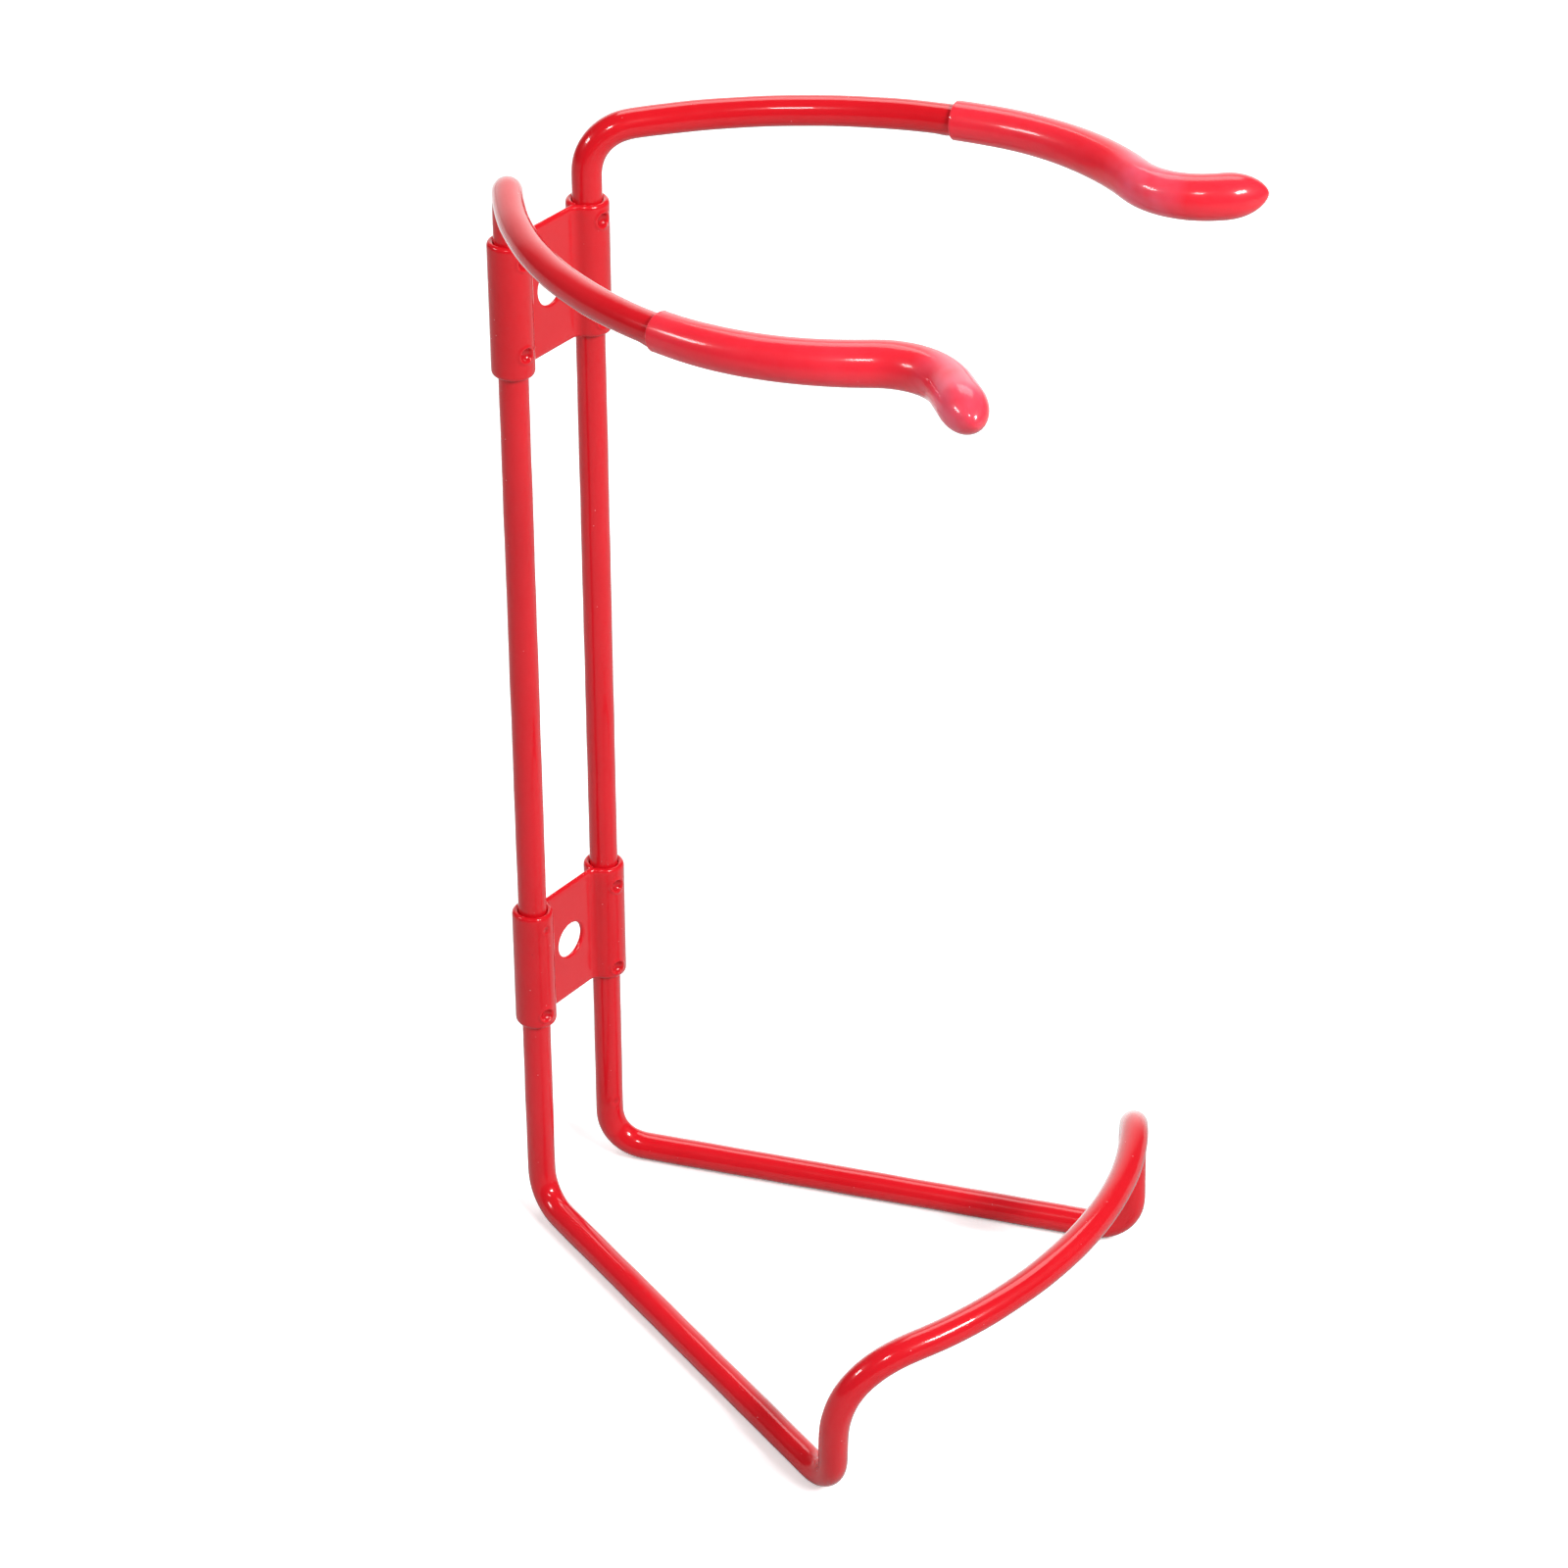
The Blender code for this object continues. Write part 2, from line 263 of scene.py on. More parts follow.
def tray_half(top_z, toe, post_top):
    """From the top of the right upright, down and along the arm, to the middle of the lip."""
    top = np.array((UPRIGHT_X, 0.0, top_z))
    heel = np.array((UPRIGHT_X, 0.0, 0.0))
    lip = lip_points(post_top)
    lip_bend = bend(toe, post_top, lip[-1 - LIP_AIM], LIP_BEND)
    reach = np.linalg.norm(lip_bend[-1] - post_top) * LIP_REACH
    rest_of_lip = [p for p in lip[::-1] if np.linalg.norm(p - post_top) > reach]
    bends = bend(top, heel, toe, HEEL_BEND) + bend(heel, toe, post_top, TOE_BEND)
    return np.array([top] + bends + lip_bend + rest_of_lip)


def tray_path():
    """The whole frame wire. The bends between the posts and the lip run long and soft, so
    that stretch comes from a much smoother path than the heels and toes."""
    right = tray_half(FRAME_CUT, np.array(TOE[1]), np.array(POST_TOP[1]))
    left = mirrored(tray_half(FRAME_CUT, mirrored(TOE[-1]), mirrored(POST_TOP[-1])))
    whole = np.concatenate((right, left[-2::-1]))
    crisp = resampled(whole, PATH_STEP, PATH_SMOOTHING)
    soft = resampled(whole, PATH_STEP, LIP_SMOOTHING)
    share = np.clip((crisp[:, 2] - SOFT_FROM_Z) / SOFT_FADE, 0, 1)
    share = eased(share * (crisp[:, 1] < SOFT_FRONT_Y))[:, None]
    return crisp * (1 - share) + soft * share


def horn_path(bottom_z, tip):
    """From inside the upper strap, up the right upright and round the horn to its tip."""
    corner = np.array((UPRIGHT_X, 0.0, HORN_HEIGHT))
    slope = math.tan(HORN_SLOPE)
    heading = HORN_START_HEADING
    away = heading_vector(heading) + np.array((0.0, 0.0, slope * math.cos(heading)))
    bottom = np.array((UPRIGHT_X, 0.0, bottom_z))
    path = [bottom] + bend(bottom, corner, corner + away, HORN_BEND)
    level = [path[-1] * (1, 1, 0)]
    for radius, end_heading in HORN_ARCS:
        level += plan_arc(level[-1], heading, radius, end_heading)
        heading = end_heading
    level.append(level[-1] + heading_vector(heading) * tip)
    path += [p + (0.0, 0.0, HORN_HEIGHT - slope * p[1]) for p in level[1:]]
    return np.array(path)


def lengths_along(path):
    steps = np.linalg.norm(np.diff(path, axis=0), axis=1)
    return np.concatenate(([0.0], np.cumsum(steps)))


def resampled(path, step, smoothing):
    """Evenly spaced points along a path, smoothed a little so that arcs run into each other
    as they do in bent wire. Both ends stay where they are."""
    lengths = lengths_along(path)
    count = math.ceil(lengths[-1] / step) + 1
    stations = np.linspace(0, lengths[-1], count)
    points = np.stack([np.interp(stations, lengths, path[:, k]) for k in range(3)], axis=1)
    reach = math.ceil(3 * smoothing / step)
    weights = np.exp(-0.5 * (np.arange(-reach, reach + 1) * step / smoothing) ** 2)
    weights /= weights.sum()
    before = 2 * points[0] - points[reach:0:-1]
    after = 2 * points[-1] - points[-2 : -reach - 2 : -1]
    padded = np.concatenate((before, points, after))
    return np.stack([np.convolve(padded[:, k], weights, "valid") for k in range(3)], axis=1)


def mirrored(points):
    return points * np.array((-1.0, 1.0, 1.0))


class Sweep:
    """Directions square to a path at every point, carried along it untwisted."""

    def __init__(self, path, sides, closed=False):
        self.path = path
        self.lengths = lengths_along(path)
        if closed:
            ahead = np.roll(path, -1, axis=0)
            behind = np.roll(path, 1, axis=0)
        else:
            ahead = np.concatenate((path[1:], path[-1:]))
            behind = np.concatenate((path[:1], path[:-1]))
        self.tangents = unit(ahead - behind)
        first = Vector(self.tangents[0])
        normal = first.orthogonal().normalized()
        normals = [np.array(normal)]
        for now, following in zip(self.tangents, self.tangents[1:]):
            normal = Vector(now).rotation_difference(Vector(following)) @ normal
            normals.append(np.array(normal))
        normals = np.array(normals)
        across = np.cross(self.tangents, normals)
        self.angles = np.arange(sides) * 2 * math.pi / sides
        cosines = np.cos(self.angles)[None, :, None]
        sines = np.sin(self.angles)[None, :, None]
        self.spokes = cosines * normals[:, None] + sines * across[:, None]
        bends = np.gradient(self.tangents, self.lengths, axis=0)
        self.curvature = np.linalg.norm(bends, axis=1)
        self.inward = bends / np.maximum(self.curvature, 1e-6)[:, None]

    def at(self, station):
        """Point and spokes at a length along the path, which may run past its end."""
        beyond = max(0.0, station - self.lengths[-1])
        station = min(max(station, 0.0), self.lengths[-1])
        i = int(np.searchsorted(self.lengths, station, side="right")) - 1
        i = min(i, len(self.path) - 2)
        share = (station - self.lengths[i]) / (self.lengths[i + 1] - self.lengths[i])
        point = self.path[i] * (1 - share) + self.path[i + 1] * share
        spokes = unit(self.spokes[i] * (1 - share) + self.spokes[i + 1] * share)
        return point + self.tangents[-1] * beyond, spokes

    def rings(self, radii):
        return self.path[:, None] + self.spokes * radii[:, :, None]


# Meshes.


def skin(rings, closed=False):
    """Vertices and faces of rings joined in order, with a fan on each end."""
    count, sides = rings.shape[:2]
    points = rings.reshape(-1, 3)
    row = np.arange(sides)
    following = np.roll(row, -1)
    faces = []
    for i in range(count if closed else count - 1):
        a, b = i * sides, (i + 1) % count * sides
        quads = np.stack((a + row, a + following, b + following, b + row), axis=1)
        faces += quads.tolist()
    if not closed:
        points = np.concatenate((points, [rings[0].mean(axis=0), rings[-1].mean(axis=0)]))
        near, far = count * sides, count * sides + 1
        last = (count - 1) * sides
        for k in range(sides):
            faces.append([near, int(following[k]), k])
            faces.append([far, last + k, last + int(following[k])])
    return points, faces


def mesh_from(points, faces):
    """A bmesh with its faces turned outwards."""
    mesh = bmesh.new()
    verts = [mesh.verts.new(p) for p in points]
    for face in faces:
        mesh.faces.new([verts[i] for i in face])
    bmesh.ops.recalc_face_normals(mesh, faces=mesh.faces)
    return mesh


def object_from(name, mesh):
    """A linked object, still in mm from the datum."""
    data = bpy.data.meshes.new(name)
    mesh.to_mesh(data)
    mesh.free()
    obj = bpy.data.objects.new(name, data)
    bpy.context.scene.collection.objects.link(obj)
    return obj


def apply_modifiers(obj):
    graph = bpy.context.evaluated_depsgraph_get()
    made = bpy.data.meshes.new_from_object(obj.evaluated_get(graph))
    obj.modifiers.clear()
    obj.data = made


def settle(obj, node, body, material):
    """Moves a finished mesh into the frame of the CAD, where it stands for a node."""
    obj.data.transform(Matrix.Translation(DATUM) @ Matrix.Scale(MM, 4))
    obj.data.shade_smooth()
    obj.data.materials.clear()
    obj.data.materials.append(material)
    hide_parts(node)
    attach(obj, body)


# Wires.


def ripple(sweep, seed):
    """How unevenly the coat has run, in mm."""
    s = sweep.lengths[:, None]
    a = sweep.angles[None, :]
    return (
        0.018 * np.sin(s / 4.7 + seed) * np.sin(s / 17.3 + 2 * seed)
        + 0.014 * np.sin(s / 2.3 + a + 3 * seed)
        + 0.012 * np.sin(s / 6.1 - 2 * a + 5 * seed)
    )


def coat_radii(sweep, seed):
    """The coat hangs a little under level wire and fills the inside of tight bends."""
    level = 1 - np.abs(sweep.tangents[:, 2])
    under = np.clip(-sweep.spokes[:, :, 2], 0, 1) ** 2
    inside = np.clip(np.einsum("ijk,ik->ij", sweep.spokes, sweep.inward), 0, 1) ** 5
    tightness = np.clip(sweep.curvature * HEEL_BEND, 0, 1) ** 2
    sag = COAT_SAG * level[:, None] * under
    pool = COAT_POOL * tightness[:, None] * inside
    return WIRE_RADIUS + sag + pool + ripple(sweep, seed)


def quiet_near(sweep, heights, radii):
    """Takes the coat back to a true cylinder where the wire runs through a strap."""
    z = sweep.path[:, 2]
    upright = np.abs(sweep.tangents[:, 2]) > 0.99
    share = np.zeros(len(z))
    for height in heights:
        distance = np.abs(z - height) - STRAP_HEIGHT / 2
        share = np.maximum(share, np.clip(1 - distance / STRAP_FADE, 0, 1) * upright)
    share = eased(share)[:, None]
    return WIRE_RADIUS * share + radii * (1 - share)


def scar(sweep):
    """How far the burst bubble lifts the coat: a raised ring round a dip."""
    facing = heading_vector(SCAR_HEADING)
    centre = np.array((UPRIGHT_X, 0.0, SCAR_Z)) + facing * WIRE_RADIUS
    skin_points = sweep.path[:, None] + sweep.spokes * WIRE_RADIUS
    distance = np.linalg.norm(skin_points - centre, axis=2)
    rim = SCAR_RIM * bump(distance - SCAR_RADIUS, SCAR_RIM_WIDTH)
    return rim - SCAR_DIP * bump(distance, SCAR_DIP_WIDTH)


def add_frame_wire(material):
    sweep = Sweep(tray_path(), WIRE_SIDES)
    radii = coat_radii(sweep, 1.0) + scar(sweep)
    radii = quiet_near(sweep, (UPPER_STRAP_Z, LOWER_STRAP_Z), radii)
    obj = object_from("tray_wire_coat", mesh_from(*skin(sweep.rings(radii))))
    settle(obj, "frame_wire", "frame", material)


def horn_sweep(side, sides):
    path = resampled(horn_path(HORN_CUT, TIP_STRAIGHT[side]), PATH_STEP, PATH_SMOOTHING)
    return Sweep(path if side > 0 else mirrored(path), sides)


def add_horn_wire(body, side, material):
    """The end of the wire is rounded off inside the sleeve."""
    sweep = horn_sweep(side, WIRE_SIDES)
    radii = coat_radii(sweep, 2.0 + side)
    radii = quiet_near(sweep, (UPPER_STRAP_Z,), radii)
    mouth = sweep.lengths[-1] - SLEEVE_LENGTH
    under = np.clip(-sweep.spokes[:, :, 2], 0, 1) ** 6
    along = bump(sweep.lengths - (mouth - DRIP_BEFORE_MOUTH), DRIP_LENGTH)
    radii += DRIP[side] * along[:, None] * under
    covered = np.clip((sweep.lengths - mouth) / 2, 0, 1)[:, None]
    radii = radii * (1 - covered) + (WIRE_RADIUS - SLEEVE_CLEARANCE) * covered
    to_end = np.clip((sweep.lengths[-1] - sweep.lengths) / WIRE_END_ROUNDING, 0.02, 1)
    radii *= np.sqrt(np.clip(1 - (1 - to_end) ** 2, 0, 1))[:, None]
    obj = object_from(body + "_wire_coat", mesh_from(*skin(sweep.rings(radii))))
    settle(obj, body + "_wire", body, material)


# Sleeves.


def swollen_radius(s):
    """The sleeve's outside without its nose, at a length past the mouth."""
    share = min(s / SLEEVE_LENGTH, 1)
    return SLEEVE_MOUTH_RADIUS + (SLEEVE_TIP_RADIUS - SLEEVE_MOUTH_RADIUS) * share


def nose_radius(swollen, past_end):
    """The outside where the nose has begun to close it, at a length past the wire's end."""
    share = (past_end + NOSE_TAPER) / (SLEEVE_NOSE + NOSE_TAPER)
    return swollen * (1 - np.clip(share, 0, 1) ** NOSE_POWER) ** NOSE_BLUNTNESS


def sleeve_profile():
    """(length past the mouth, radius) from the bore's end, round the mouth, to the tip."""
    end = SLEEVE_LENGTH
    bore_end = end + SLEEVE_END_ROOM
    profile = [(bore_end, r) for r in (0.3, 1.8, 3.0, BORE_RADIUS - 0.15)]
    profile += [(s, BORE_RADIUS) for s in np.arange(bore_end - 0.2, 0.6, -0.8)]
    edge = (SLEEVE_MOUTH_RADIUS - BORE_RADIUS) / 2
    for angle in np.radians(np.arange(-90, 91, 18)):
        radius = (SLEEVE_MOUTH_RADIUS + BORE_RADIUS) / 2 + edge * math.sin(angle)
        profile.append((edge - edge * math.cos(angle), radius))
    whole = end + SLEEVE_NOSE
    near_tip = whole - (SLEEVE_NOSE - 2) * (1 - np.sin(np.radians(np.arange(0, 90, 5))))
    for s in [*np.arange(0.7, end + 1.8, 0.6), *near_tip]:
        profile.append((s, nose_radius(swollen_radius(s), s - end)))
    return profile


def add_sleeve(body, side, material):
    sweep = horn_sweep(side, SLEEVE_SIDES)
    mouth = sweep.lengths[-1] - SLEEVE_LENGTH
    bore_end = SLEEVE_LENGTH + SLEEVE_END_ROOM
    rings = []
    for s, radius in sleeve_profile():
        point, spokes = sweep.at(mouth + s)
        outer = s > 0.3 and (radius > BORE_RADIUS + 0.2 or s > bore_end)
        along = 0.03 * math.sin(s / 5.3 + side)
        around = 0.025 * np.sin(2 * sweep.angles + s / 9 + side)
        to_tip = np.clip((SLEEVE_LENGTH + SLEEVE_NOSE - s) / SLEEVE_FADE, 0, 1)
        uneven = outer * to_tip * (along + around)
        rings.append(point + spokes * (radius + uneven)[:, None])
    obj = object_from(body + "_sleeve_skin", mesh_from(*skin(np.array(rings))))
    settle(obj, body + "_sleeve", body, material)


# Straps.


def arc_points(centre, radius, start, end, steps):
    """Points in plan along an arc, both ends included; the angles are from +X."""
    x, y = centre
    angles = np.linspace(start, end, steps + 1)
    return [(x + radius * math.cos(a), y + radius * math.sin(a)) for a in angles]


def sheet_face(depth, curl_end):
    """The right half of one face of the sheet in plan, from the web to the curl's end."""
    span = BORE_RADIUS + SHEET + CREASE_RADIUS
    crease_y = WEB_FRONT_Y - CREASE_RADIUS
    crease_centre = (UPRIGHT_X - math.sqrt(span**2 - crease_y**2), crease_y)
    turn = -math.asin(crease_y / span)
    curl = BORE_RADIUS + SHEET - depth
    points = arc_points(crease_centre, CREASE_RADIUS + depth, math.pi / 2, turn, 24)
    return points + arc_points((UPRIGHT_X, 0), curl, turn - math.pi, curl_end, 110)


def strap_outline(inset, back_inset):
    """The edge of the whole sheet in plan, with its front and back faces drawn in."""
    curl_end = CURL_END - back_inset / BORE_RADIUS
    front = sheet_face(inset, curl_end)
    back = sheet_face(SHEET - back_inset, curl_end)
    right = front + back[::-1]
    return right + [(-x, y) for x, y in reversed(right)]


def sheet_mesh():
    """The curled sheet about its middle height."""
    mesh = bmesh.new()
    top = []
    for angle in np.radians(np.arange(0, 91, 15)):
        z = STRAP_HEIGHT / 2 - EDGE_HEIGHT * (1 - math.sin(angle))
        inset = 1 - math.cos(angle)
        top.append((z, EDGE_OUTSIDE * inset, EDGE_INSIDE * inset))
    levels = [(-z, front, back) for z, front, back in reversed(top)] + top
    rings = [
        [mesh.verts.new((x, y, z)) for x, y in strap_outline(front, back)]
        for z, front, back in levels
    ]
    for ring, following in zip(rings, rings[1:]):
        for k in range(len(ring)):
            after = (k + 1) % len(ring)
            mesh.faces.new((ring[k], ring[after], following[after], following[k]))
    mesh.faces.new(rings[0])
    mesh.faces.new(rings[-1])
    bmesh.ops.recalc_face_normals(mesh, faces=mesh.faces)
    return mesh


def hole_cutter():
    """The space of the screw hole, with a rounded flare at each face of the web."""
    back_y = WEB_FRONT_Y + SHEET
    back = []
    for angle in np.radians((0, 22, 45, 67, 90)):
        y = back_y - HOLE_ROUNDING * (1 - math.sin(angle))
        back.append((y, HOLE_ROUNDING * (1 - math.cos(angle))))
    front = [(WEB_FRONT_Y + back_y - y, widening) for y, widening in reversed(back)]
    before = (WEB_FRONT_Y - 1, HOLE_ROUNDING)
    beyond = (back_y + 1, HOLE_ROUNDING)
    stations = [before] + front + back + [beyond]
    path = np.array([(0.0, y, 0.0) for y, _ in stations])
    angles = np.arange(HOLE_SIDES) * 2 * math.pi / HOLE_SIDES
    spokes = np.stack((np.cos(angles), 0 * angles, np.sin(angles)), axis=1)
    radii = np.array([SCREW_HOLE_RADIUS + widening for _, widening in stations])
    rings = path[:, None] + spokes[None] * radii[:, None, None]
    return mesh_from(*skin(rings))


def stake_places(stakes):
    """Each stake mark's upright and height, the way it faces and its depth."""
    reach = STRAP_HEIGHT / 2 - STAKE_INSET
    corners = [(x, z) for x in (-UPRIGHT_X, UPRIGHT_X) for z in (-reach, reach)]
    for (x, z), (angle, shift, depth) in zip(corners, stakes):
        yield x, z + shift, math.radians(angle), depth


def stake_cutter(stakes):
    mesh = bmesh.new()
    for x, z, angle, depth in stake_places(stakes):
        reach = BORE_RADIUS + SHEET + STAKE_BALL_RADIUS - depth
        place = Matrix.Translation(Vector((x, 0, z)) + Vector(heading_vector(angle)) * reach)
        bmesh.ops.create_icosphere(
            mesh, subdivisions=4, radius=STAKE_BALL_RADIUS, matrix=place
        )
    return mesh


def stake_rims(stakes):
    """The metal pushed up round each stake mark: a ring wrapped on the curl."""
    meshes = []
    outside = BORE_RADIUS + SHEET
    turn = np.arange(RIM_STEPS) * 2 * math.pi / RIM_STEPS
    radii = np.full((RIM_STEPS, RIM_SIDES), RIM_RADIUS)
    for x, z, angle, depth in stake_places(stakes):
        inside = STAKE_BALL_RADIUS - depth
        radius = math.sqrt(STAKE_BALL_RADIUS**2 - inside**2) + RIM_SPREAD
        ridge = outside - RIM_RADIUS + RIM_PER_DEPTH * depth
        around = angle + radius * np.cos(turn) / outside
        height = z + radius * np.sin(turn)
        plan = x + ridge * np.sin(around), -ridge * np.cos(around)
        sweep = Sweep(np.stack((*plan, height), axis=1), RIM_SIDES, closed=True)
        meshes.append(mesh_from(*skin(sweep.rings(radii), closed=True)))
    return meshes


def coat_plugs():
    """The coat that fills the gap between curl and wire, dished where it meets the air."""
    half = STRAP_HEIGHT / 2
    wire, sheet = WIRE_RADIUS + 0.05, BORE_RADIUS + 0.45
    edge = [
        (wire, half - PLUG_BELOW_EDGE),
        (wire + 0.2, half - PLUG_DISH),
        (sheet, half - PLUG_DISH),
    ]
    profile = edge + [(radius, -z) for radius, z in reversed(edge)]
    angles = np.arange(PLUG_SIDES) * 2 * math.pi / PLUG_SIDES
    spokes = np.stack((np.cos(angles), np.sin(angles), 0 * angles), axis=1)
    meshes = []
    for x in (-UPRIGHT_X, UPRIGHT_X):
        rings = np.array([(x, 0, z) + spokes * radius for radius, z in profile])
        meshes.append(mesh_from(*skin(rings, closed=True)))
    return meshes


def joined(meshes):
    """One bmesh of them all. The ones put in are freed."""
    whole = bmesh.new()
    for mesh in meshes:
        data = bpy.data.meshes.new("part")
        mesh.to_mesh(data)
        mesh.free()
        whole.from_mesh(data)
        bpy.data.meshes.remove(data)
    return whole


def carve(obj, mesh):
    cutter = object_from("cutter", mesh)
    modifier = obj.modifiers.new("carve", "BOOLEAN")
    modifier.operation = "DIFFERENCE"
    modifier.solver = "EXACT"
    modifier.object = cutter
    apply_modifiers(obj)
    bpy.data.objects.remove(cutter)


def add_remesh(obj):
    remesh = obj.modifiers.new("merge", "REMESH")
    remesh.mode = "VOXEL"
    remesh.voxel_size = STRAP_VOXEL


def add_strap(node, middle_z, tilt, stakes, material):
    """Everything the coat covers is merged into one skin, then smoothed as the coat would."""
    pieces = [sheet_mesh()] + coat_plugs() + stake_rims(stakes)
    obj = object_from(node + "_coat", joined(pieces))
    add_remesh(obj)
    apply_modifiers(obj)
    carve(obj, hole_cutter())
    carve(obj, stake_cutter(stakes))
    add_remesh(obj)
    smooth = obj.modifiers.new("flow", "SMOOTH")
    smooth.factor = 0.5
    smooth.iterations = 5
    apply_modifiers(obj)
    lean = Matrix.Identity(4)
    lean[2][0] = -tilt
    obj.data.transform(Matrix.Translation((0, 0, middle_z)) @ lean)
    settle(obj, node, "frame", material)


# Materials.

# A look has colours, sizes in mm, and how much of each effect the material shows. Dust and pits
# are the shares of their cells that hold one.
DIP_COAT = dict(
    deep=(0.66, 0.0045, 0.011),
    bright=(0.74, 0.009, 0.018),
    pale=(0.80, 0.026, 0.040),
    # The colour of hollows, painted shade with pooled coat, which the pits take too.
    pooled_and_shade=(0.27, 0.002, 0.006),
    mottle=40.0,
    grain=0.12,
    hollow_shade=0.9,
    dust=0.42,
    pits=0.35,
    roughness=(0.18, 0.26),
    coat_roughness=(0.04, 0.08),
    peel_size=4.5,
    peel=0.008,
    fine=0.05,
    ior=1.30,
    coat=1.0,
    coat_ior=1.42,
    subsurface=0.0,
    painted_highlight=0.0,
)
VINYL = dict(
    DIP_COAT,
    deep=(0.90, 0.016, 0.034),
    bright=(0.99, 0.028, 0.052),
    pale=(1.0, 0.070, 0.10),
    pooled_and_shade=(0.70, 0.008, 0.018),
    mottle=18.0,
    hollow_shade=0.3,
    dust=0.22,
    pits=0.12,
    roughness=(0.30, 0.38),
    coat_roughness=(0.10, 0.16),
    peel_size=5.0,
    subsurface=0.2,
    # How strongly the painted highlight on the last bend shows.
    painted_highlight=0.8,
)

# A painted highlight: the vinyl is painted pale pink round the last bend, between these places
# along a slanted line in plan, in metres, with a fade on both sides.
PAINTED_HIGHLIGHT_START = (-0.045, -0.053)
PAINTED_HIGHLIGHT_END = (-0.067, -0.060)
PAINTED_HIGHLIGHT_SLANT = 0.178
PAINTED_HIGHLIGHT_COLOUR = (1.0, 0.13, 0.21)

# Dust and pits lie in cells: the cell's size, the dot's size, and an offset that keeps the two
# patterns apart.
DUST = (2.3, 0.17, (3.1, 7.7, 1.3))
PITS = (3.9, 0.2, (11.0, 2.9, 5.7))
DUST_COLOUR = (0.95, 0.42, 0.45)
SPECK_TINT = 0.5

# Relief, as multiples of the orange peel's.
DUST_HEIGHT = 4.0
PIT_DEPTH = 5.0

GRAIN_SIZE = 1.6
GRAIN_ROUGHNESS = 0.12
FINE_SIZE = 0.35
SMEAR_SIZE = 6.0
PAINTED_HIGHLIGHT_PATCH_SIZE = 7.0

# How pointed the surface is where the darker colour of hollows starts to show, and where it
# shows fully. It is painted shade, with the coat pooled there.
HOLLOW_SHADE = (0.495, 0.455)

# How far red, green and blue scatter in the vinyl, and the scale of that in mm.
SCATTER = (1.0, 0.25, 0.15)
SCATTER_SCALE = 1.2


def opaque(colour):
    return (*colour, 1.0)


class Nodes:
    """A short way to build a material's node tree."""

    def __init__(self, tree):
        self.tree = tree

    def set_inputs(self, node, values):
        """Links a value that is a socket, and writes any other."""
        for key, value in values.items():
            if isinstance(value, bpy.types.NodeSocket):
                self.tree.links.new(value, node.inputs[key])
            else:
                node.inputs[key].default_value = value

    def fill(self, values, shader="Principled BSDF"):
        """Sets inputs of the shader that the tree starts with."""
        self.set_inputs(self.tree.nodes[shader], values)

    def add(self, kind, values=None, **settings):
        node = self.tree.nodes.new(kind)
        for key, value in settings.items():
            setattr(node, key, value)
        self.set_inputs(node, values or {})
        return node

    def noise(self, vector, size, detail=2.0, roughness=0.5):
        values = {"Vector": vector, "Scale": 1 / size, "Detail": detail, "Roughness": roughness}
        return self.add("ShaderNodeTexNoise", values).outputs["Fac"]

    def ramp(self, value, low, high, bottom=0.0, top=1.0):
        values = {0: value, 1: low, 2: high, 3: bottom, 4: top}
        return self.add("ShaderNodeMapRange", values).outputs[0]

    def math(self, operation, a, b):
        return self.add("ShaderNodeMath", {0: a, 1: b}, operation=operation).outputs[0]

    def blend(self, share, a, b):
        values = {"Factor": share, 6: a, 7: b}
        return self.add("ShaderNodeMix", values, data_type="RGBA").outputs[2]

    def towards_backdrop(self):
        """0 to 1 as the ray comes from closer to the middle of the bright backdrop."""
        ray = self.add("ShaderNodeNewGeometry").outputs["Incoming"]
        values = {0: ray, 1: tuple(direction(BACKDROP_AZIMUTH, 0.0))}
        dot = self.add("ShaderNodeVectorMath", values, operation="DOT_PRODUCT")
        return self.ramp(dot.outputs["Value"], *BACKDROP_EDGE)

    def specks(self, vector, keep, spacing, size, offset):
        """Sparse round dots: 1 in the middle of each, falling to 0 at its edge."""
        moved = self.add("ShaderNodeVectorMath", {0: vector, 1: offset}, operation="ADD")
        values = {"Vector": moved.outputs[0], "Scale": 1 / spacing}
        cells = self.add("ShaderNodeTexVoronoi", values)
        dot = self.ramp(cells.outputs["Distance"], size / spacing, 0.3 * size / spacing)
        chosen = self.math("LESS_THAN", cells.outputs["Color"], keep)
        return self.math("MULTIPLY", dot, chosen)


def painted_highlight_share(nodes, place, in_mm):
    """How strongly the painted highlight on the sleeve's last bend shows, in patches."""
    parts = nodes.add("ShaderNodeSeparateXYZ", {0: place}).outputs
    slant = nodes.math("MULTIPLY", parts["X"], PAINTED_HIGHLIGHT_SLANT)
    along = nodes.math("SUBTRACT", parts["Y"], slant)
    on_bend = nodes.math(
        "MULTIPLY", nodes.ramp(along, *PAINTED_HIGHLIGHT_START), nodes.ramp(along, *PAINTED_HIGHLIGHT_END)
    )
    patches = nodes.ramp(nodes.noise(in_mm, PAINTED_HIGHLIGHT_PATCH_SIZE), 0.3, 0.6, 0.3)
    return nodes.math("MULTIPLY", on_bend, patches)


